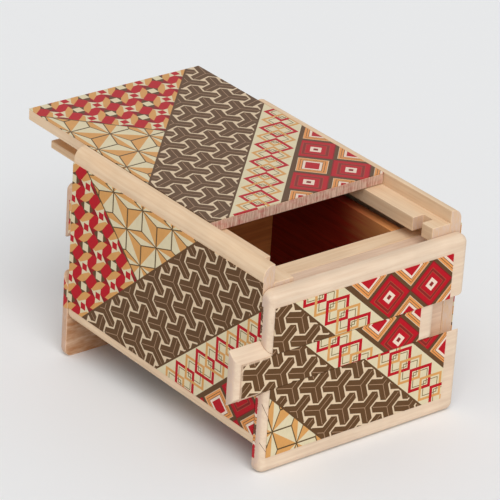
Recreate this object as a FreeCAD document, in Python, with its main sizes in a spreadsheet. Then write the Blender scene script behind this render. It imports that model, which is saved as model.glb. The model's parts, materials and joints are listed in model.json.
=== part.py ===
import FreeCAD, Part

import os

import Sketcher

# A wooden secret box with marquetry veneer, shown open.
# X runs along the box, Y across it, Z up. The origin is the middle of the closed box's underside.
# "right" is the +X end and "left" the -X end; "front" is the -Y long side and "rear" the +Y one.
# Each end panel is an upper piece, a lower piece and a dovetailed key strip that slides sideways
# between them. With its key slid out an end panel can drop, and once both have dropped the lid
# slides away over the left one.

doc = FreeCAD.newDocument("puzzle_box")

# ---------------------------------------------------------------- sizes, in mm
SIZES = [
    # whole box
    ("box_width", 85.0),
    ("box_height", 67.0),
    ("side_half_length", 52.7),
    ("veneer", 0.3),
    # long side boards
    ("side_inner", 37.5),
    ("side_round", 4.0),
    ("side_veneer_bottom", 5.4),
    ("side_veneer_top", 61.4),
    # lid, which slides along X
    ("lid_half_length", 52.4),
    ("lid_half_width", 37.2),
    ("lid_under", 62.8),
    ("neck_half_width", 29.2),
    ("flange_left", -44.3),
    ("flange_right", 38.4),
    ("flange_half_width", 33.0),
    ("flange_top", 57.0),
    ("flange_under", 54.1),
    ("lid_open", 35.0),
    # ledges that carry the lid
    ("ledge_inner", 29.5),
    ("ledge_top", 62.5),
    ("ledge_under", 57.3),
    ("notch_start", 42.6),
    ("notch_end", 47.1),
    ("notch_depth", 4.7),
    ("step_length", 12.5),
    ("step_top", 60.3),
    # inner box
    ("inner_top", 53.6),
    ("base_top", 4.2),
    ("floor_top", 7.2),
    ("wall_inner", 28.8),
    ("wall_thick", 4.2),
    ("cavity_right", 33.2),
    ("cavity_left", -29.8),
    ("wall_joint", 0.25),
    ("guide_inner", 40.6),
    ("guide_outer", 52.5),
    # end panels
    ("panel_back", 52.9),
    ("panel_front", 57.6),
    ("panel_round", 3.0),
    ("lower_split", 32.2),
    ("upper_split", 45.0),
    ("dovetail_rise", 4.2),
    ("panel_veneer_front", -40.4),
    ("panel_veneer_rear", 35.4),
    ("panel_veneer_bottom", 6.6),
    ("panel_veneer_top", 61.8),
    ("right_drop", 8.0),
    ("left_drop", 14.6),
    ("left_lift", 1.4),
    # key strip
    ("key_back", 53.05),
    ("key_gap", 0.2),
    ("key_shift", 12.6),
    ("lug_middle", -17.0),
    ("lug_half_width", 3.0),
    ("lug_half_height", 2.0),
    ("lug_inner", 49.5),
    # batten and retainer that hold an end panel to its guide board
    ("batten_half_width", 9.0),
    ("batten_bottom", 20.0),
    ("batten_top", 58.0),
    ("batten_inner", 48.0),
    ("retainer_half_width", 14.0),
    ("retainer_top", 50.0),
    ("retainer_inner", 45.2),
    ("slot_gap", 0.3),
    ("stop_gap", 0.2),
]

sheet = doc.addObject("Spreadsheet::Sheet", "Sizes")
for row, (alias, value) in enumerate(SIZES, start=1):
    sheet.set("A%d" % row, alias)
    sheet.set("B%d" % row, str(value))
    sheet.setAlias("B%d" % row, alias)
doc.recompute()

S = dict(SIZES)
HALF_WIDTH = S["box_width"] / 2


def bound(text):
    """The same formula with every size name pointing at the sheet."""
    words = text.replace("(", " ( ").replace(")", " ) ").split()
    return " ".join("Sizes." + w if w in S else w for w in words)


# ---------------------------------------------------------------- plain boards
parts = []
STILL = ("0", "0", "0")


def place(obj, label, turn=0, shift=STILL, corner=STILL):
    """Names a finished sub-part and binds its place to the sheet: its corner, turned about Z by
    0 or 180 degrees, then shifted to where it stands in the open box."""
    obj.Label = label
    obj.Placement = FreeCAD.Placement(
        FreeCAD.Vector(0, 0, 0), FreeCAD.Rotation(FreeCAD.Vector(0, 0, 1), turn)
    )
    signs = (-1, -1, 1) if turn else (1, 1, 1)
    for axis, sign, start, move in zip("xyz", signs, corner, shift):
        formula = "%d * ( %s ) + ( %s )" % (sign, start, move)
        obj.setExpression("Placement.Base." + axis, bound(formula))
    parts.append(obj)


def board(label, x, y, z, turn=0, shift=STILL):
    """A square-edged board between two formulas along each axis."""
    box = doc.addObject("Part::Box", label)
    for side, (low, high) in zip(("Length", "Width", "Height"), (x, y, z)):
        box.setExpression(side, bound("( %s ) - ( %s )" % (high, low)))
    place(box, label, turn, shift, (x[0], y[0], z[0]))


# ---------------------------------------------------------------- sketched bodies
def body_of(name):
    body = doc.addObject("PartDesign::Body", name)
    planes = {f.Name.split("_")[0]: f for f in body.Origin.OriginFeatures if "Plane" in f.Name}
    return body, planes


def sketch_on(body, plane, name, points, offset=0.0):
    """A closed outline on one of the body's own planes, moved along that plane's normal."""
    sketch = body.newObject("Sketcher::SketchObject", name)
    sketch.AttachmentSupport = [(plane, "")]
    sketch.MapMode = "FlatFace"
    sketch.AttachmentOffset = FreeCAD.Placement(
        FreeCAD.Vector(0, 0, offset), FreeCAD.Rotation()
    )
    count = len(points)
    for i in range(count):
        a, b = points[i], points[(i + 1) % count]
        sketch.addGeometry(
            Part.LineSegment(FreeCAD.Vector(a[0], a[1], 0), FreeCAD.Vector(b[0], b[1], 0))
        )
    for i in range(count):
        sketch.addConstraint(Sketcher.Constraint("Coincident", i, 2, (i + 1) % count, 1))
    return sketch


def pad(body, sketch, name, length, both_ways=False):
    feature = body.newObject("PartDesign::Pad", name)
    feature.Profile = sketch
    feature.setExpression("Length", bound(length))
    feature.Midplane = both_ways
    doc.recompute()
    return feature


def cut(body, sketch, name, length):
    """A pocket that must take wood away; it is turned round if it points out of the board."""
    before = body.Shape.Volume
    feature = body.newObject("PartDesign::Pocket", name)
    feature.Profile = sketch
    feature.setExpression("Length", bound(length))
    doc.recompute()
    if feature.Shape.Volume > before - 1.0:
        feature.Reversed = True
        doc.recompute()
    if feature.Shape.Volume > before - 1.0:
        raise ValueError(name + " takes no wood away")
    return feature


def round_over(body, base, name, radius, wanted):
    """Rounds every straight edge whose middle point passes the test."""
    doc.recompute()
    chosen = []
    for i, edge in enumerate(base.Shape.Edges, start=1):
        middle = edge.valueAt((edge.FirstParameter + edge.LastParameter) / 2)
        if wanted(middle):
            chosen.append("Edge%d" % i)
    feature = body.newObject("PartDesign::Fillet", name)
    feature.Base = (base, chosen)
    feature.setExpression("Radius", bound(radius))
    doc.recompute()
    return feature


def near(a, b):
    return abs(a - b) < 0.01


# ---------------------------------------------------------------- long sides
def side(label, turn):
    """A long side board, rounded over along its outer top and bottom edges."""
    body, planes = body_of(label)
    outer = -(HALF_WIDTH - S["veneer"])
    inner = -S["side_inner"]
    outline = [(outer, 0), (inner, 0), (inner, S["box_height"]), (outer, S["box_height"])]
    profile = sketch_on(body, planes["YZ"], label + "_profile", outline)
    blank = pad(body, profile, label + "_blank", "2 * side_half_length", both_ways=True)
    round_over(
        body,
        blank,
        label + "_edges",
        "side_round",
        lambda p: near(p.y, outer) and (near(p.z, 0) or near(p.z, S["box_height"])),
    )
    place(body, label, turn)


side("side_front", 0)
side("side_rear", 180)

SIDE_LENGTH = ("0 - side_half_length", "side_half_length")
SIDE_VENEER_HEIGHT = ("side_veneer_bottom", "side_veneer_top")
board(
    "side_front_veneer",
    SIDE_LENGTH,
    ("0 - box_width / 2", "veneer - box_width / 2"),
    SIDE_VENEER_HEIGHT,
)
board(
    "side_rear_veneer",
    SIDE_LENGTH,
    ("box_width / 2 - veneer", "box_width / 2"),
    SIDE_VENEER_HEIGHT,
)


# ---------------------------------------------------------------- ledges
def ledge(label, turn):
    """A guide strip with a notch in its inner edge near one end and a lower step at the other."""
    body, planes = body_of(label)
    end, inner, outer = S["side_half_length"], S["ledge_inner"], S["side_inner"]
    notch_back = inner + S["notch_depth"]
    outline = [
        (-end, inner),
        (S["notch_start"], inner),
        (S["notch_start"], notch_back),
        (S["notch_end"], notch_back),
        (S["notch_end"], inner),
        (end, inner),
        (end, outer),
        (-end, outer),
    ]
    plan = sketch_on(body, planes["XY"], label + "_plan", outline, S["ledge_under"])
    pad(body, plan, label + "_blank", "ledge_top - ledge_under")
    step = [
        (-end - 1, inner - 1),
        (S["step_length"] - end, inner - 1),
        (S["step_length"] - end, outer + 1),
        (-end - 1, outer + 1),
    ]
    above = sketch_on(body, planes["XY"], label + "_step", step, S["ledge_top"])
    cut(body, above, label + "_stepped", "ledge_top - step_top")
    place(body, label, turn)


ledge("ledge_rear", 0)
ledge("ledge_front", 180)

# ---------------------------------------------------------------- inner box and base
INNER_HEIGHT = ("base_top", "inner_top")
FULL_WIDTH = ("0 - side_inner", "side_inner")
WALL_LENGTH = ("cavity_left", "cavity_right - wall_joint")

board("wall_front", WALL_LENGTH, ("0 - wall_inner - wall_thick", "0 - wall_inner"), INNER_HEIGHT)
board("wall_rear", WALL_LENGTH, ("wall_inner", "wall_inner + wall_thick"), INNER_HEIGHT)
board("wall_right", ("cavity_right", "guide_inner"), FULL_WIDTH, INNER_HEIGHT)
board("wall_left", ("0 - guide_inner", "cavity_left"), FULL_WIDTH, INNER_HEIGHT)
board(
    "floor_inner",
    ("cavity_left", "cavity_right"),
    ("0 - wall_inner", "wall_inner"),
    ("base_top", "floor_top"),
)
board(
    "base_board",
    ("0 - guide_outer", "guide_outer"),
    FULL_WIDTH,
    ("veneer", "base_top"),
)
board("base_veneer", ("0 - guide_outer", "guide_outer"), FULL_WIDTH, ("0", "veneer"))

# ---------------------------------------------------------------- lid, slid open
SLID = ("0 - lid_open", "0", "0")
LID_LENGTH = ("0 - lid_half_length", "lid_half_length")
LID_WIDTH = ("0 - lid_half_width", "lid_half_width")
FLANGE_LENGTH = ("flange_left", "flange_right")
NECK_WIDTH = ("0 - neck_half_width", "neck_half_width")
FLANGE_WIDTH = ("0 - flange_half_width", "flange_half_width")

board("lid_board", LID_LENGTH, LID_WIDTH, ("lid_under", "box_height - veneer"), 0, SLID)
board("lid_veneer", LID_LENGTH, LID_WIDTH, ("box_height - veneer", "box_height"), 0, SLID)
board("lid_neck", FLANGE_LENGTH, NECK_WIDTH, ("flange_top", "lid_under"), 0, SLID)
board("lid_flange", FLANGE_LENGTH, FLANGE_WIDTH, ("flange_under", "flange_top"), 0, SLID)


# ---------------------------------------------------------------- guide boards
def guide(label, turn, drop, lift):
    """The board behind an end panel, with a T-shaped slot for the panel's retainer and batten
    and a C-shaped slot for the key's lug: along at the top, down, and along at the bottom."""
    body, planes = body_of(label)
    inner, outer, half = S["guide_inner"], S["guide_outer"], S["side_inner"]
    plan = sketch_on(
        body,
        planes["XY"],
        label + "_plan",
        [(inner, -half), (outer, -half), (outer, half), (inner, half)],
        S["base_top"],
    )
    pad(body, plan, label + "_blank", "inner_top - base_top")

    gap = S["slot_gap"]
    narrow, wide = S["batten_half_width"] + gap, S["retainer_half_width"] + gap
    lip, back = S["batten_inner"] + gap, S["retainer_inner"] - gap
    tee = [
        (outer + 1, -narrow),
        (lip, -narrow),
        (lip, -wide),
        (back, -wide),
        (back, wide),
        (lip, wide),
        (lip, narrow),
        (outer + 1, narrow),
    ]
    above = sketch_on(body, planes["XY"], label + "_tee", tee, S["inner_top"])
    cut(body, above, label + "_slot", "inner_top - batten_bottom + stop_gap + " + drop)

    middle = (S["lower_split"] + S["upper_split"]) / 2
    reach = S["lug_half_height"] + gap
    home, out = S["lug_middle"], S["lug_middle"] - S["key_shift"]
    sideways = S["lug_half_width"] + gap
    low = middle - S[drop]
    cee = [
        (out - sideways, low - reach),
        (home + sideways, low - reach),
        (home + sideways, low + reach + lift),
        (out + sideways, low + reach + lift),
        (out + sideways, middle - reach),
        (home + sideways, middle - reach),
        (home + sideways, middle + reach),
        (out - sideways, middle + reach),
    ]
    face = sketch_on(body, planes["YZ"], label + "_cee", cee, outer)
    cut(body, face, label + "_track", "guide_outer - lug_inner + slot_gap")
    place(body, label, turn)


guide("guide_right", 0, "right_drop", 0.0)
guide("guide_left", 180, "left_drop", S["left_lift"] + 0.1)


# ---------------------------------------------------------------- end panels
def rounded_strip(label, outline):
    """A panel piece: an outline in X and Z run across the box, rounded over on its outer edges."""
    body, planes = body_of(label)
    profile = sketch_on(body, planes["XZ"], label + "_profile", outline)
    blank = pad(body, profile, label + "_blank", "box_width", both_ways=True)
    front, top = S["panel_front"], S["box_height"]

    def outer_edge(p):
        at_end = near(abs(p.y), HALF_WIDTH)
        at_rim = near(p.z, 0) or near(p.z, top)
        at_front = near(p.x, front)
        return (at_front and (at_end or at_rim)) or (at_end and at_rim)

    round_over(body, blank, label + "_edges", "panel_round", outer_edge)
    return body


def end_panel(name, turn, drop):
    """An end panel dropped by its full travel, with its key slid out."""
    down = ("0", "0", "0 - " + drop)
    out = ("0", "%d * key_shift" % (1 if turn else -1), "0 - " + drop)
    back, front, top = S["panel_back"], S["panel_front"], S["box_height"]
    low, high, rise = S["lower_split"], S["upper_split"], S["dovetail_rise"]

    lower = rounded_strip(name + "_lower", [(back, 0), (front, 0), (front, low), (back, low - rise)])
    place(lower, name + "_lower", turn, down)
    upper = rounded_strip(
        name + "_upper", [(back, high + rise), (front, high), (front, top), (back, top)]
    )
    place(upper, name + "_upper", turn, down)

    # the key is a dovetail, wider behind, so it can only slide along
    gap, key_back = S["key_gap"], S["key_back"]
    spread = rise / (front - back) * (front - key_back)
    key = rounded_strip(
        name + "_key",
        [
            (key_back, low + gap - spread),
            (front, low + gap),
            (front, high - gap),
            (key_back, high - gap + spread),
        ],
    )
    place(key, name + "_key", turn, out)

    sheets = (
        ("_lower_veneer", "panel_veneer_bottom", "lower_split", down),
        ("_upper_veneer", "upper_split", "panel_veneer_top", down),
        ("_key_veneer", "lower_split + key_gap", "upper_split - key_gap", out),
    )
    face = ("panel_front", "panel_front + veneer")
    across = ("panel_veneer_front", "panel_veneer_rear")
    for ending, bottom, above, shift in sheets:
        board(name + ending, face, across, (bottom, above), turn, shift)

    board(
        name + "_batten",
        ("batten_inner", "panel_back"),
        ("0 - batten_half_width", "batten_half_width"),
        ("batten_bottom", "batten_top"),
        turn,
        down,
    )
    board(
        name + "_retainer",
        ("retainer_inner", "batten_inner"),
        ("0 - retainer_half_width", "retainer_half_width"),
        ("batten_bottom", "retainer_top"),
        turn,
        down,
    )
    middle = "( lower_split + upper_split ) / 2"
    board(
        name + "_key_lug",
        ("lug_inner", "key_back"),
        ("lug_middle - lug_half_width", "lug_middle + lug_half_width"),
        (middle + " - lug_half_height", middle + " + lug_half_height"),
        turn,
        out,
    )


end_panel("right", 0, "right_drop")
end_panel("left", 180, "left_drop")

# ---------------------------------------------------------------- checks and export
doc.recompute()
os.makedirs("parts", exist_ok=True)
for obj in doc.Objects:
    if "Invalid" in obj.State or "Error" in obj.State:
        raise ValueError("%s did not compute" % obj.Label)
for obj in parts:
    shape = obj.Shape
    if not shape.isValid() or len(shape.Solids) != 1:
        raise ValueError("%s is not one sound solid" % obj.Label)
    shape.exportStep(os.path.join("parts", obj.Label + ".step"))
    box = shape.BoundBox
    print(
        "%-20s %8.1f mm3  X %6.1f..%6.1f  Y %6.1f..%6.1f  Z %6.1f..%6.1f"
        % (obj.Label, shape.Volume, box.XMin, box.XMax, box.YMin, box.YMax, box.ZMin, box.ZMax)
    )
print("%d sub-parts" % len(parts))
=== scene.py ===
import json
import math

import bmesh
import bpy
from mathutils import Matrix, Vector


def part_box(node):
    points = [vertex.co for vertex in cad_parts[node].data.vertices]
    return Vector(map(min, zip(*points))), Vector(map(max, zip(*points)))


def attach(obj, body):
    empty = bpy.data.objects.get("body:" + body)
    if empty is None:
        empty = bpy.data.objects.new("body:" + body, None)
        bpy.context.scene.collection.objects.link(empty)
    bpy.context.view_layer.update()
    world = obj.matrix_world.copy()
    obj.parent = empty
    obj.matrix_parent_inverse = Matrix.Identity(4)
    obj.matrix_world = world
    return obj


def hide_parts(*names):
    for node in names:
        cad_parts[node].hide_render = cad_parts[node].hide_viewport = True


# A wooden secret box with marquetry veneer, shown open. The scene is in metres, in the packed
# part's frame: X along the box, Y across it, Z up. Shaders work in millimetres of that frame.
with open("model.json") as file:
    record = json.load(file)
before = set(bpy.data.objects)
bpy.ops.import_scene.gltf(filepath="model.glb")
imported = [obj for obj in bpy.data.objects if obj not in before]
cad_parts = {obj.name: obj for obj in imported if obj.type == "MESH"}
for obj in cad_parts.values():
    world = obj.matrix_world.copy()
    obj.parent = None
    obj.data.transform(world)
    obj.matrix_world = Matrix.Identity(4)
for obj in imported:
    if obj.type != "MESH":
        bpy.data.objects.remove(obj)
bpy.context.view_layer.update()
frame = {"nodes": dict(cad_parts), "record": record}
nodes = frame["nodes"]
MM = 0.001

# How far the closed box's pieces have moved in the stored pose, in mm
LID_OPEN = 35.0
RIGHT_DROP = 8.0
LEFT_DROP = 14.6
KEY_SHIFT = 12.6
# Where the right key's veneer ends at the top and toward the front, in mm
key_low, key_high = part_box("right_key_veneer")
KEY_TOP, KEY_END = key_high.z / MM, key_low.y / MM


def colour(red, green, blue):
    """An sRGB colour from 0 to 255 as Blender's linear numbers."""
    def linear(c):
        c /= 255.0
        return c / 12.92 if c <= 0.04045 else ((c + 0.055) / 1.055) ** 2.4

    return (linear(red), linear(green), linear(blue), 1.0)


CREAM = colour(222, 208, 172)
TAN = colour(214, 156, 90)
ORANGE = colour(226, 150, 84)
RED = colour(184, 12, 30)
DEEP_RED = colour(140, 18, 26)
BROWN = colour(98, 68, 40)
DARK_LINE = colour(96, 74, 44)
THIN_LINE = colour(124, 102, 62)
VEIN = colour(176, 142, 112)
OUTLINE = colour(222, 198, 166)
BISCUIT = colour(236, 212, 192)
RUST = colour(160, 84, 56)
OXBLOOD = colour(136, 34, 30)
HEART_RED = colour(140, 40, 36)
RUBBED = colour(222, 192, 164)


def add_object(name, data):
    """A new object in the scene."""
    item = bpy.data.objects.new(name, data)
    bpy.context.scene.collection.objects.link(item)
    return item


# ---------------------------------------------------------------- shader arithmetic
def feed(tree, slots, values):
    """Puts each value into its slot. A value is a Num or a plain number."""
    for slot, value in zip(slots, values):
        if isinstance(value, Num):
            tree.links.new(value.socket, slot)
        else:
            slot.default_value = value


class Num:
    """A number in a node tree. Arithmetic on it adds Math nodes."""

    def __init__(self, tree, socket):
        self.tree, self.socket = tree, socket

    def math(self, operation, *others):
        node = self.tree.nodes.new("ShaderNodeMath")
        node.operation = operation
        feed(self.tree, node.inputs, (self,) + others)
        return Num(self.tree, node.outputs[0])

    def __add__(self, other):
        return self.math("ADD", other)

    def __sub__(self, other):
        return self.math("SUBTRACT", other)

    def __mul__(self, other):
        return self.math("MULTIPLY", other)

    def __lt__(self, other):
        return self.math("LESS_THAN", other)

    def __gt__(self, other):
        return self.math("GREATER_THAN", other)

    def __abs__(self):
        return self.math("ABSOLUTE")

    def __neg__(self):
        return self.math("MULTIPLY", -1.0)

    def low(self, other):
        return self.math("MINIMUM", other)

    def high(self, other):
        return self.math("MAXIMUM", other)

    def near(self, period):
        """The signed distance from the nearest multiple of period."""
        return self.math("ADD", period / 2).math("FLOORED_MODULO", period).math(
            "SUBTRACT", period / 2
        )


def mix(mask, under, over):
    """under where mask is 0 and over where it is 1; either may be a colour or a socket."""
    tree = mask.tree
    node = tree.nodes.new("ShaderNodeMix")
    node.data_type = "RGBA"
    tree.links.new(mask.socket, node.inputs[0])
    for slot, value in ((node.inputs[6], under), (node.inputs[7], over)):
        if isinstance(value, tuple):
            slot.default_value = value
        else:
            tree.links.new(value, slot)
    return node.outputs[2]


def pattern_group(name):
    """A new node group from a place on a sheet to a colour: its tree, the place's two numbers
    and the socket for the colour."""
    tree = bpy.data.node_groups.new(name, "ShaderNodeTree")
    for label in ("u", "v"):
        tree.interface.new_socket(label, in_out="INPUT", socket_type="NodeSocketFloat")
    tree.interface.new_socket("Color", in_out="OUTPUT", socket_type="NodeSocketColor")
    start = tree.nodes.new("NodeGroupInput")
    end = tree.nodes.new("NodeGroupOutput")
    return tree, Num(tree, start.outputs[0]), Num(tree, start.outputs[1]), end.inputs[0]


def use(tree, made, u, v):
    """Adds a pattern's group to a tree at a place on its sheet, and gives its colour socket."""
    node = tree.nodes.new("ShaderNodeGroup")
    node.node_tree = made
    feed(tree, node.inputs, (u, v))
    return node.outputs[0]


def inside(u, v, corners):
    """1 inside a convex polygon whose corners run anticlockwise."""
    worst = None
    for i, (ax, ay) in enumerate(corners):
        bx, by = corners[(i + 1) % len(corners)]
        nx, ny = by - ay, ax - bx
        edge = u * nx + v * ny - (ax * nx + ay * ny)
        worst = edge if worst is None else worst.high(edge)
    return worst < 0.0


# ---------------------------------------------------------------- marquetry patterns
# Every pattern works in millimetres of its own sheet, across (u) and up (v). The plaited bands
# run down to the right.
ROOT_HALF = math.sqrt(0.5)


def kikko_pattern():
    """Three-armed brown tiles with pale outlines, interlocked on a hexagonal lattice."""
    tree, u, v, result = pattern_group("marquetry_kikko")
    # between tiles, half an arm's width, the outline's width at an arm's tip, half a vein's width
    pitch, arm, gap, vein = 10.0, 2.03, 0.60, 0.11
    row = pitch * math.sqrt(3)
    along, over = (u + v) * ROOT_HALF, (v - u) * ROOT_HALF
    first = (along.near(pitch), over.near(row))
    second = ((along - pitch / 2).near(pitch), (over - row / 2).near(row))
    reach = [x * x + y * y for x, y in (first, second)]
    swap = reach[1] < reach[0]
    x = first[0] + (second[0] - first[0]) * swap
    y = first[1] + (second[1] - first[1]) * swap
    third = 2 * math.pi / 3
    angle = abs(y.math("ARCTAN2", x).near(third))
    radius = reach[0].low(reach[1]).math("SQRT")
    a, b = radius * angle.math("COSINE"), radius * angle.math("SINE")
    side = abs(a * math.sin(third / 2) - b * math.cos(third / 2))
    tip = (b > arm + gap) * (side < arm)
    brown = (b < arm).high(tip)
    tip_vein_start = arm + gap + 0.5
    line = (b < vein).high((b > tip_vein_start) * (side < vein))
    shade = mix(brown, OUTLINE, BROWN)
    shade = mix(line * brown, shade, VEIN)
    tree.links.new(shade, result)
    return tree


def square_chain_pattern():
    """A chain of linked red and tan square outlines down the middle of a cream band."""
    tree, u, v, result = pattern_group("marquetry_chain")
    pitch = 9.5
    # in pitches: the outlines' widths, then half the side and half the width of the thin squares
    red_width, tan_width, inner, fine = 0.128, 0.105, 0.31, 0.017
    p, q = u * (1 / pitch), v * (1 / pitch)
    place = (p - q) * 0.5

    def squares(offset, width):
        """Outline squares, thin squares inside them, and the parts of the outlines on top."""
        k = (place - offset).math("ROUND") + offset
        x, y = p - k, q + k
        size = abs(x).high(abs(y))
        ring = (size > 0.5 - width) * (size < 0.5)
        thin = abs(size - inner) < fine
        upper = (x < 0.5 - width) * (y > width - 0.5)
        return ring, thin, ring * upper

    red, red_thin, _ = squares(0.0, red_width)
    tan, tan_thin, tan_over = squares(0.5, tan_width)
    shade = mix(red_thin.high(tan_thin), CREAM, THIN_LINE)
    shade = mix(tan, shade, TAN)
    shade = mix(red, shade, RED)
    shade = mix(tan_over, shade, TAN)
    tree.links.new(shade, result)
    return tree


def concentric_pattern():
    """Diamonds of nested squares, red ones and orange ones in turn."""
    tree, u, v, result = pattern_group("marquetry_concentric")
    pitch = 17.9
    p, q = u * (1 / pitch), v * (1 / pitch)
    reach = (abs(p.near(1.0)) + abs(q.near(1.0))) * 2.0
    other = reach * -1.0 + 2.0
    # each ring's start, from 0 at a diamond's middle to 1 at its edge, and its colour
    red_rings = (
        (0.0, HEART_RED), (0.12, BISCUIT), (0.29, RED), (0.53, RUST),
        (0.555, OXBLOOD), (0.68, RUST), (0.705, RED), (0.94, DEEP_RED),
    )
    orange_rings = (
        (0.0, RED), (0.37, BISCUIT), (0.50, BROWN), (0.53, ORANGE), (0.63, BROWN),
        (0.66, ORANGE), (0.78, OUTLINE), (0.81, BROWN),
    )

    def rings(radius, steps):
        shade = steps[0][1]
        for start, wood in steps[1:]:
            shade = mix(radius > start, shade, wood)
        return shade

    shade = mix(reach > 1.0, rings(reach, red_rings), rings(other, orange_rings))
    tree.links.new(shade, result)
    return tree


def hemp_leaf_pattern():
    """Kites of tan and cream round six-line stars, with fine dark lines between."""
    tree, u, v, result = pattern_group("marquetry_hemp_leaf")
    # The stars' lattice is made of triangles that point up or down, each cut in three parts that
    # meet at one point: the part along the level side is flatter than a third.
    # Between stars along a row, between rows, how much flatter that part is, and how far a line
    # reaches to each side of its cut, as a share of a triangle.
    pitch, row, lift, fine = 15.2, 10.53, 1.446, 0.038
    y = v * (1 / row)
    fy = y.math("FRACT")
    fs = (u * (1 / pitch) - y * 0.5).math("FRACT")
    upward = (fs + fy) < 1.0
    flip = upward * 2.0 - 1.0
    base = upward * -1.0 + 1.0
    first = (fs + fy) * (-flip) + flip
    second = fs * flip + base
    height = (fy * flip + base) * lift
    small, large = first.low(second), first.high(second)
    flat = height < small
    gap = height.high(small).low(large) - height.low(small)
    line = gap < fine
    tan = abs(flat - upward) > 0.5
    shade = mix(tan, CREAM, TAN)
    shade = mix(line, shade, DARK_LINE)
    tree.links.new(shade, result)
    return tree


def red_pattern():
    """Red ground with cream pinwheels round a red square, long tan slips beside them, and small
    cream squares edged with brown."""
    tree, u, v, result = pattern_group("marquetry_red")
    half = 7.74
    p, q = u * (1 / half), v * (-1 / half)
    # x and y count from the nearest pinwheel; fx and fy are the same, turned half round if y < x
    a, b = ((p + q) * 0.5).near(1.0), ((p - q) * 0.5).near(1.0)
    x, y = a + b, a - b
    sign = (y < x) * -2.0 + 1.0
    fx, fy = x * sign, y * sign
    pinwheel = inside(fx, fy, ((-0.48, 0.16), (-0.17, -0.17), (0.17, 0.17), (0.19, 0.46)))
    outline = (
        (-0.46, 0.15), (-0.30, 0.13), (0.19, 0.44), (0.50, 0.82), (0.15, 0.82), (-0.10, 0.64)
    )
    # a slip also reaches into the next pinwheel's cell
    towards = (x + y < 0.0) * 2.0 - 1.0
    slip = inside(fx, fy, outline).high(inside(x * towards + 1.0, y * towards + 1.0, outline))
    heart = abs(x).high(abs(y)) < 0.16
    side_x, side_y = abs(abs(x) - 1.0), abs(abs(y) - 1.0)
    square = side_x.high(abs(y)).low(side_y.high(abs(x)))
    diamond = (side_x + abs(y)).low(side_y + abs(x))
    deep = abs((p - 0.5).near(1.0)).high(abs((q - 0.5).near(1.0))) > 0.37
    shade = mix(deep, RED, DEEP_RED)
    shade = mix(diamond < 0.44, shade, BROWN)
    shade = mix(pinwheel, shade, CREAM)
    shade = mix(slip, shade, TAN)
    shade = mix(heart, shade, RED)
    shade = mix(square < 0.19, shade, CREAM)
    tree.links.new(shade, result)
    return tree


KIKKO = kikko_pattern()
CHAIN = square_chain_pattern()
CONCENTRIC = concentric_pattern()
HEMP_LEAF = hemp_leaf_pattern()
RED_STARS = red_pattern()


# ---------------------------------------------------------------- materials
def new_material(name):
    material = bpy.data.materials.new(name)
    material.use_nodes = True
    tree = material.node_tree
    tree.nodes.clear()
    output = tree.nodes.new("ShaderNodeOutputMaterial")
    shader = tree.nodes.new("ShaderNodeBsdfPrincipled")
    tree.links.new(shader.outputs[0], output.inputs["Surface"])
    return material, tree, shader


def parts(tree, vector):
    """A vector socket's three parts, as numbers."""
    split = tree.nodes.new("ShaderNodeSeparateXYZ")
    tree.links.new(vector, split.inputs[0])
    return [Num(tree, s) for s in split.outputs]


def position(tree):
    """The point in the part's frame at rest, as three numbers in millimetres."""
    place = tree.nodes.new("ShaderNodeTexCoord")
    scale = tree.nodes.new("ShaderNodeVectorMath")
    scale.operation = "SCALE"
    scale.inputs["Scale"].default_value = 1 / MM
    tree.links.new(place.outputs["Object"], scale.inputs[0])
    return parts(tree, scale.outputs[0])


def surface_normal(tree):
    """The surface's direction in the part's frame at rest, as three numbers."""
    facing = tree.nodes.new("ShaderNodeNewGeometry")
    turn = tree.nodes.new("ShaderNodeVectorTransform")
    turn.vector_type, turn.convert_from, turn.convert_to = "NORMAL", "WORLD", "OBJECT"
    tree.links.new(facing.outputs["True Normal"], turn.inputs[0])
    return parts(tree, turn.outputs[0])


def noise(tree, x, y, z, detail=2.0, rough=0.5, scale=1.0):
    """Noise at a point given by three numbers in millimetres."""
    join = tree.nodes.new("ShaderNodeCombineXYZ")
    feed(tree, join.inputs, (x, y, z))
    node = tree.nodes.new("ShaderNodeTexNoise")
    node.inputs["Scale"].default_value = scale
    node.inputs["Detail"].default_value = detail
    node.inputs["Roughness"].default_value = rough
    tree.links.new(join.outputs[0], node.inputs["Vector"])
    return Num(tree, node.outputs[0])


def ramp(value, low, high):
    """value brought from low..high to 0..1 and held there."""
    node = value.tree.nodes.new("ShaderNodeMapRange")
    node.clamp = True
    node.interpolation_type = "SMOOTHSTEP"
    node.inputs["From Min"].default_value = low
    node.inputs["From Max"].default_value = high
    value.tree.links.new(value.socket, node.inputs["Value"])
    return Num(value.tree, node.outputs[0])


def bump(tree, shader, height, distance, strength):
    """Relief as deep as distance, in metres."""
    node = tree.nodes.new("ShaderNodeBump")
    node.inputs["Strength"].default_value = strength
    node.inputs["Distance"].default_value = distance
    tree.links.new(height.socket, node.inputs["Height"])
    tree.links.new(node.outputs[0], shader.inputs["Normal"])


def darken(tree, socket, amount):
    """The colour times a number near 1."""
    node = tree.nodes.new("ShaderNodeVectorMath")
    node.operation = "SCALE"
    tree.links.new(socket, node.inputs[0])
    tree.links.new(amount.socket, node.inputs["Scale"])
    return node.outputs[0]


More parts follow.
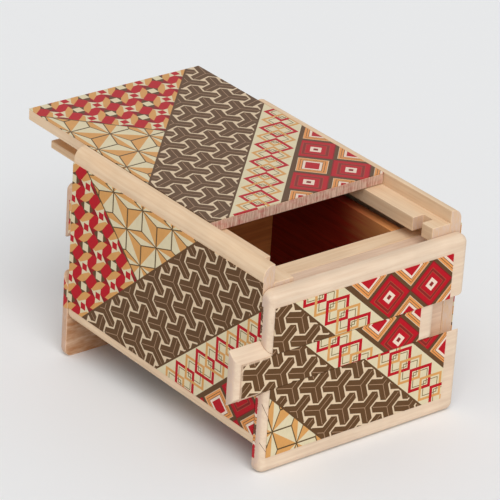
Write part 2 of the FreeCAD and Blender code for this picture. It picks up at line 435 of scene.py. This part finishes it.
def wood(name, grain, tints, seed, changes):
    """Plain sawn wood in a pale, a deep and an end-grain tint. grain is the axis (0, 1 or 2) that
    its fibres run along; faces square to that axis show end grain. Each of changes alters the
    colour at some places."""
    material, tree, shader = new_material(name)
    pale, deep, end_tint = tints
    axes, normal = position(tree), surface_normal(tree)
    along = axes[grain]
    side, rise = [axes[i] for i in range(3) if i != grain]
    slow = noise(tree, along * 0.02, side * 0.12, rise * 0.12, scale=1.0 + seed * 0.01)
    wave = noise(tree, along * 0.035, side * 0.9 + slow * 3.0 + seed, rise * 0.9, 3.0)
    fibre = noise(tree, along * 0.12, side * 7.0, rise * 7.0 + seed, 3.0, 0.6)
    tone = ramp(wave * 0.7 + fibre * 0.3, 0.34, 0.68)
    body = mix(tone * 0.7, pale, deep)

    square = ramp(abs(normal[grain]), 0.75, 0.97)
    rings = noise(tree, side * 1.6 + slow * 4.0, rise * 0.35 + seed, along * 0.05, 4.0, 0.65)
    pores = noise(tree, side * 5.0, rise * 5.0, seed, 2.0, 0.7)
    end_grain = mix(ramp(rings * 0.7 + pores * 0.3, 0.38, 0.66), end_tint, deep)
    body = mix(square, body, end_grain)
    for change in changes:
        body = change(tree, axes, normal, body, tone)

    # fibres, then handling marks
    body = darken(tree, body, fibre * 0.16 + 0.93)
    smudge = noise(tree, axes[0] * 0.07, axes[1] * 0.07, axes[2] * 0.07 + seed, 3.0)
    body = darken(tree, body, ramp(smudge, 0.25, 0.75) * 0.10 + 0.95)
    tree.links.new(body, shader.inputs["Base Color"])
    gloss = fibre * 0.18 + square * 0.12 + 0.33
    tree.links.new(gloss.socket, shader.inputs["Roughness"])
    shader.inputs["Specular IOR Level"].default_value = 0.25
    bump(tree, shader, fibre * 0.5 + wave * 0.5, 0.06 * MM, 0.6)
    return material


def marquetry_colour(tree, axes, sheet):
    """A sheet's bands of pattern, and the place on the sheet."""
    u = axes[sheet["across"]] * sheet["across_sign"] + sheet["across_shift"]
    v = axes[sheet["up"]] * sheet["up_sign"] + sheet["up_shift"]

    def pattern(made, setting, turned=False):
        (u0, v0), (stretch_u, stretch_v) = setting
        x, y = (u - u0) * (1 / stretch_u), (v - v0) * (1 / stretch_v)
        return use(tree, made, *((-y, x) if turned else (x, y)))

    def beyond(line):
        """Distance in mm from a line, counted to the left of the way from its first point to its
        second."""
        (ax, ay), (bx, by) = line
        length = math.hypot(bx - ax, by - ay)
        nx, ny = (ay - by) / length, (bx - ax) / length
        return u * nx + v * ny - (ax * nx + ay * ny)

    def strip(distance, start, stop):
        """1 between two distances from a line."""
        return (distance > start) * (distance < stop)

    # the bands from left to right, each laid over the last, with strips of brown along their edges
    shade = pattern(HEMP_LEAF, sheet["leaf"], "stars" not in sheet)
    if "stars" in sheet:
        leaf_edge = beyond(sheet["leaf_line"])
        shade = mix(leaf_edge > 0.0, shade, pattern(RED_STARS, sheet["stars"]))
        shade = mix(strip(leaf_edge, -0.28, 0.28), shade, DARK_LINE)
    left, right, far = (beyond(sheet[key]) for key in ("left_line", "right_line", "far_line"))
    shade = mix(left > 0.0, shade, pattern(KIKKO, sheet["kikko"]))
    shade = mix(strip(left, -0.08, 0.68), shade, BROWN)
    shade = mix(right > 0.0, shade, pattern(CHAIN, sheet["chain"]))
    shade = mix(strip(right, -0.55, 0.15), shade, BROWN)
    shade = mix(far > 0.0, shade, pattern(CONCENTRIC, sheet["concentric"]))
    shade = mix(strip(far, -0.2, 1.35), shade, BROWN)
    return shade, u, v


def marquetry(name, sheet, gloss_level, rubbed):
    """Veneer on one face. A rubbed one has lost some of its edge, as the right key's has."""
    material, tree, shader = new_material(name)
    axes = position(tree)
    shade, u, v = marquetry_colour(tree, axes, sheet)

    # open grain running across the sheet, and a little change of tone from slip to slip
    pores = noise(tree, u * 5.0, v * 0.5, 0.0, 3.0, 0.65)
    cloud = noise(tree, u * 0.25, v * 0.2, 4.0)
    shade = darken(tree, shade, pores * 0.30 + 0.85)
    shade = darken(tree, shade, cloud * 0.16 + 0.92)
    if rubbed:
        patchiness = pores * 1.6 + cloud * 0.8
        # the top edge is only rubbed where the key stands out of the box
        within_box = ramp(axes[1], -43.0, -36.0)
        from_top = axes[2] * -1.0 + KEY_TOP + within_box * 4.0
        from_end = axes[1] - KEY_END
        shade = mix(ramp(patchiness - from_top.low(from_end), 0.35, 1.0) * 0.8, shade, RUBBED)
    tree.links.new(shade, shader.inputs["Base Color"])
    gloss = pores * 0.14 + cloud * 0.10 + 0.36
    tree.links.new(gloss.socket, shader.inputs["Roughness"])
    shader.inputs["Specular IOR Level"].default_value = gloss_level
    bump(tree, shader, pores, 0.03 * MM, 0.5)
    return material


# Each sheet in its face's own millimetres. First which axes of the part run across and up it, each
# with its sign and shift. Then the lines between its bands, by two points each. Last, for each
# pattern, one point of it and how much it is stretched across and up. On a sheet without stars the
# leaves are turned a quarter.
LID_SHEET = {
    "across": 0, "across_sign": 1, "across_shift": LID_OPEN, "up": 1, "up_sign": 1, "up_shift": 0.0,
    "left_line": ((-53.3, 32.1), (16.7, -35.8)),
    "right_line": ((-14.2, 37.5), (52.1, -29.2)),
    "far_line": ((7.6, 37.5), (52.6, -7.5)),
    "leaf_line": ((-43.3, -35.8), (-13.3, -7.5)),
    "kikko": ((-19.4, 9.5), (1.065, 1.050)),
    "chain": ((6.4, 27.8), (1.053, 1.053)),
    "concentric": ((26.0, 28.7), (1.071, 1.034)),
    "leaf": ((-20.7, -25.0), (1.080, 1.030)),
    "stars": ((-42.7, 1.3), (1.071, 1.044)),
}
SIDE_SHEET = {
    "across": 0, "across_sign": 1, "across_shift": 0.0, "up": 2, "up_sign": -1, "up_shift": 67.0,
    "left_line": ((-44.3, 61.7), (17.3, 5.8)),
    "right_line": ((-0.6, 61.7), (53.2, 15.4)),
    "far_line": ((21.9, 61.7), (37.3, 47.5)),
    "leaf_line": ((-43.5, 6.25), (-13.5, 33.75)),
    "kikko": ((6.2, 25.7), (1.090, 0.983)),
    "chain": ((15.25, 57.9), (1.097, 0.982)),
    "concentric": ((44.1, 50.8), (1.085, 0.982)),
    "leaf": ((-28.9, 7.0), (1.091, 0.981)),
    "stars": ((-43.7, 11.1), (1.077, 0.990)),
}
END_SHEET = {
    "across": 1, "across_sign": 1, "across_shift": 0.0, "up": 2, "up_sign": 1, "up_shift": 0.0,
    "left_line": ((-40.4, 20.9), (-17.1, -1.2)),
    "right_line": ((-32.7, 53.9), (26.4, -1.07)),
    "far_line": ((-11.5, 53.7), (35.4, 10.7)),
    "kikko": ((-21.4, 19.6), (1.031, 0.975)),
    "chain": ((25.0, 9.6), (1.038, 0.969)),
    "concentric": ((7.85, 45.0), (1.034, 0.982)),
    "leaf": ((-38.5, 7.9), (1.028, 0.982)),
}


def moved(sheet, **changes):
    """A sheet with some of its values changed."""
    return {**sheet, **changes}


MARQUETRY = {
    "lid_veneer": LID_SHEET,
    "base_veneer": moved(LID_SHEET, across_shift=0.0, up_sign=-1),
    "side_front_veneer": SIDE_SHEET,
    "side_rear_veneer": moved(SIDE_SHEET, across_sign=-1),
}
for end_name, sign, drop in (("right", 1, RIGHT_DROP), ("left", -1, LEFT_DROP)):
    lowered = moved(END_SHEET, across_sign=sign, up_shift=drop - RIGHT_DROP)
    MARQUETRY[end_name + "_lower_veneer"] = lowered
    MARQUETRY[end_name + "_upper_veneer"] = lowered
    MARQUETRY[end_name + "_key_veneer"] = moved(lowered, across_shift=KEY_SHIFT)

LID_GLOSS, SIDE_GLOSS = 0.58, 0.10
for node_name, sheet in MARQUETRY.items():
    face = nodes[node_name]
    face.data.materials.clear()
    gloss_level = LID_GLOSS if node_name == "lid_veneer" else SIDE_GLOSS
    rubbed = node_name == "right_key_veneer"
    face.data.materials.append(marquetry(node_name + "_marquetry", sheet, gloss_level, rubbed))

# ---------------------------------------------------------------- plain wood
# a pale, a deep and an end-grain tint each
PALE = (colour(235, 206, 172), colour(218, 182, 144), colour(216, 190, 172))
PANEL = (colour(232, 209, 183), colour(216, 187, 160), colour(208, 182, 166))
BROWN_WOOD = (colour(232, 196, 156), colour(206, 164, 122), colour(214, 178, 150))
FAR_PANEL = (colour(230, 200, 172), colour(204, 160, 124), colour(208, 176, 156))
# painted shade: the inner box's natural wood drawn in the dark maroon it takes in the box's shade
SHADED_INTERIOR = (colour(150, 40, 24), colour(96, 14, 14), colour(110, 40, 26))
AMBER = (colour(232, 150, 84), colour(196, 110, 54), colour(170, 100, 60))
INNER = (colour(230, 200, 174), colour(210, 174, 146), colour(204, 176, 162))

# the axis of each board's fibres and its tints
WOODS = {
    "side_front": (0, PALE), "side_rear": (0, PALE),
    "ledge_front": (0, PALE), "ledge_rear": (0, PALE),
    "lid_board": (0, PALE), "lid_neck": (0, BROWN_WOOD), "lid_flange": (0, BROWN_WOOD),
    # the front and rear inner walls and the inner floor carry painted shade in their tints
    "wall_front": (0, SHADED_INTERIOR), "wall_rear": (0, SHADED_INTERIOR),
    "wall_right": (1, PALE), "wall_left": (1, AMBER),
    "floor_inner": (0, SHADED_INTERIOR), "base_board": (0, PALE),
    "guide_right": (1, INNER), "guide_left": (1, INNER),
}
for end_name, tints in (("right", PANEL), ("left", FAR_PANEL)):
    for piece in ("lower", "upper", "key"):
        WOODS[end_name + "_" + piece] = (1, tints)
    WOODS[end_name + "_batten"] = (2, INNER)
    WOODS[end_name + "_retainer"] = (1, INNER)
    WOODS[end_name + "_key_lug"] = (1, INNER)


def dyed_end(tree, axes, normal, body, tone):
    """Colour from the marquetry drawn down over the lid's sawn right end."""
    streak = noise(tree, 0.0, axes[1] * 2.6, axes[2] * 0.15, 3.0, 0.7)
    patch = noise(tree, 9.0, axes[1] * 0.22, axes[2] * 0.5)
    grey = mix(ramp(streak, 0.40, 0.62), colour(220, 186, 166), colour(178, 144, 124))
    dye = ramp(patch * 0.5 + streak * 0.5, 0.46, 0.62) * 0.48
    return mix(ramp(normal[0], 0.6, 0.9), body, mix(dye, grey, colour(184, 60, 66)))


def shade_lifting_to_amber(tree, axes, normal, body, tone):
    """Painted shade: the rear inner wall drawn dark maroon, giving way to its lit brown wood toward
    the right end and the top.
    """
    lit_share = ramp(axes[0] + axes[2] * 0.25 + tone * 9.0, 22.0, 52.0)
    return mix(lit_share, body, mix(tone, colour(236, 168, 104), colour(204, 130, 72)))


def wrapped_side(reach, drop, bottom):
    """The long sides' marquetry running on over the edge of an end panel, lowered with it by drop.
    It goes as far out as reach and down to bottom, in mm."""
    sheet = moved(SIDE_SHEET, up_shift=SIDE_SHEET["up_shift"] - drop)

    def change(tree, axes, normal, body, tone):
        shade, _, v = marquetry_colour(tree, axes, sheet)
        ragged = noise(tree, 0.0, 3.0, axes[2] * 1.3, 3.0) * 1.2
        at_side = abs(normal[1]) > 0.8
        within = (v > SIDE_SHEET_TOP) * (axes[2] > bottom) * (abs(axes[0]) + ragged < reach)
        return mix(at_side * within, body, shade)

    return change


def shaded_inside_face(tree, axes, normal, body, tone):
    """Painted shade: a left board's face toward the box, darkened brown in patches."""
    patchiness = noise(tree, 2.0, axes[1] * 0.08, axes[2] * 0.3, 3.0, 0.6)
    inward = ramp(normal[0], 0.7, 0.9)
    return mix(inward * ramp(patchiness, 0.25, 0.7), body, colour(178, 118, 70))


def cracked(tree, axes, normal, body, tone):
    """Fine cracks in the outer face of the right lower board, at its front corner."""
    half_width = 0.07
    outer_face = axes[0] > 56.0
    for (top_y, top_z), (low_y, low_z), bow in CRACKS:
        along = (axes[2] - low_z) * (1 / (top_z - low_z))
        line = along * (top_y - low_y) + low_y + along * (along * -1.0 + 1.0) * bow
        crack = (abs(axes[1] - line) < half_width) * (along > 0.0) * (along < 1.0)
        body = mix(crack * outer_face, body, colour(96, 66, 50))
    return body


# Each crack's upper end and lower end, across and up, and how far it bows between them, in mm
CRACKS = (
    ((-42.6, 20.6), (-40.2, 13.4), -1.2),
    ((-42.8, 5.6), (-39.6, -0.4), -1.0),
)
# Where the long sides' marquetry starts under the top edge, and how low it comes on the panels
SIDE_SHEET_TOP = 5.6
RIGHT_WRAP_BOTTOM, LEFT_WRAP_BOTTOM = -2.6, 4.6
CHANGES = {
    "lid_board": (dyed_end,),
    # painted shade on the rear inner wall, lighter toward its right end and top
    "wall_rear": (shade_lifting_to_amber,),
    "right_lower": (wrapped_side(55.0, RIGHT_DROP, RIGHT_WRAP_BOTTOM), cracked),
    "right_upper": (wrapped_side(54.6, RIGHT_DROP, RIGHT_WRAP_BOTTOM),),
    # painted shade on the left boards' faces toward the box
    "left_lower": (wrapped_side(56.4, LEFT_DROP, LEFT_WRAP_BOTTOM), shaded_inside_face),
    "left_upper": (wrapped_side(54.6, LEFT_DROP, LEFT_WRAP_BOTTOM), shaded_inside_face),
}

body_of = {
    node: body
    for body, members in frame["record"]["behaviour"]["bodies"].items()
    for node in members
}


def softened(node, width):
    """A copy of a CAD node with its sharp edges eased, standing for the node."""
    source = nodes[node]
    mesh = source.data.copy()
    mesh.materials.clear()
    work = bmesh.new()
    work.from_mesh(mesh)
    bmesh.ops.remove_doubles(work, verts=work.verts, dist=1e-6)
    bmesh.ops.dissolve_limit(
        work, angle_limit=math.radians(0.5), verts=work.verts, edges=work.edges
    )
    work.to_mesh(mesh)
    work.free()
    piece = add_object(node + "_wood", mesh)
    ease = piece.modifiers.new("eased_edges", "BEVEL")
    ease.width = width
    ease.segments = 3
    ease.limit_method = "ANGLE"
    ease.angle_limit = math.radians(35)
    ease.use_clamp_overlap = True
    for polygon in mesh.polygons:
        polygon.use_smooth = True
    smooth = piece.modifiers.new("weighted", "WEIGHTED_NORMAL")
    smooth.keep_sharp = True
    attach(piece, body_of[node])
    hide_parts(node)
    return piece


EASED_EDGE = 0.3 * MM
for number, (node_name, (grain, tints)) in enumerate(WOODS.items()):
    piece = softened(node_name, EASED_EDGE)
    seed = 7.0 * number + 3.0
    changes = CHANGES.get(node_name, ())
    piece.data.materials.append(wood(node_name + "_grain", grain, tints, seed, changes))

# ---------------------------------------------------------------- floor
# The box stands on the lower edges of its dropped end panels, so the floor slopes under it.
# It rises from the left foot's height to the right foot's over this run.
FLOOR_RUN = 109.0 * MM
# half the floor's side
FLOOR_REACH = 3.0
right_foot, left_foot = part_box("right_lower")[0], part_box("left_lower")[0]
slope = (right_foot.z - left_foot.z) / FLOOR_RUN
middle = (right_foot.z + left_foot.z) / 2
floor_corners = [
    (x * FLOOR_REACH, y * FLOOR_REACH, middle + slope * x * FLOOR_REACH)
    for x, y in ((-1, -1), (1, -1), (1, 1), (-1, 1))
]
floor_mesh = bpy.data.meshes.new("floor")
floor_mesh.from_pydata(floor_corners, [], [(0, 1, 2, 3)])
floor = add_object("floor", floor_mesh)
floor_material, _, floor_shader = new_material("floor_paper")
floor_shader.inputs["Base Color"].default_value = colour(244, 245, 246)
floor_shader.inputs["Roughness"].default_value = 0.7
floor.data.materials.append(floor_material)

# ---------------------------------------------------------------- light
world = bpy.data.worlds.new("studio")
bpy.context.scene.world = world
world.use_nodes = True
background = world.node_tree.nodes["Background"]
background.inputs["Color"].default_value = (1.0, 1.0, 1.0, 1.0)
background.inputs["Strength"].default_value = 0.50


def soft_sun(name, direction, spread, strength):
    """A wide even light arriving from a direction, as from a large distant panel."""
    light = bpy.data.lights.new(name, "SUN")
    light.angle = math.radians(spread)
    light.energy = strength
    lamp = add_object(name, light)
    lamp.rotation_euler = Vector(direction).to_track_quat("Z", "Y").to_euler()


soft_sun("key_light", (0.50, -0.28, 0.82), 42.0, 1.40)
soft_sun("fill_light", (0.86, -0.30, 0.46), 34.0, 0.42)

# ---------------------------------------------------------------- camera
# The view in the photograph: degrees round the box, up, and of tilt to the side. The camera stands
# back from a point over the box's middle, a little to the side of that line and above it.
azimuth, elevation, roll = (math.radians(angle) for angle in (50.42, 26.48, 3.77))
AIM_HEIGHT = 32.0 * MM
DISTANCE = 1140.22 * MM
ASIDE, ABOVE = -3.45 * MM, 7.36 * MM
ahead = Vector(
    (
        -math.sin(azimuth) * math.cos(elevation),
        math.cos(azimuth) * math.cos(elevation),
        -math.sin(elevation),
    )
)
across = Vector((math.cos(azimuth), math.sin(azimuth), 0.0))
upward = across.cross(ahead)
right = across * math.cos(roll) + upward * math.sin(roll)
top = upward * math.cos(roll) - across * math.sin(roll)
stand = Vector((0, 0, AIM_HEIGHT)) - ahead * DISTANCE + across * ASIDE + upward * ABOVE

lens = bpy.data.cameras.new("camera")
lens.sensor_width = 36.0
lens.lens = 239.55
lens.shift_x = -0.0033
lens.shift_y = -0.0047
lens.clip_start, lens.clip_end = 0.05, 20.0
camera = add_object("camera", lens)
camera.matrix_world = Matrix.Translation(stand) @ Matrix(
    (
        (right.x, top.x, -ahead.x, 0),
        (right.y, top.y, -ahead.y, 0),
        (right.z, top.z, -ahead.z, 0),
        (0, 0, 0, 1),
    )
)
bpy.context.scene.camera = camera
bpy.context.scene.view_settings.view_transform = "Standard"
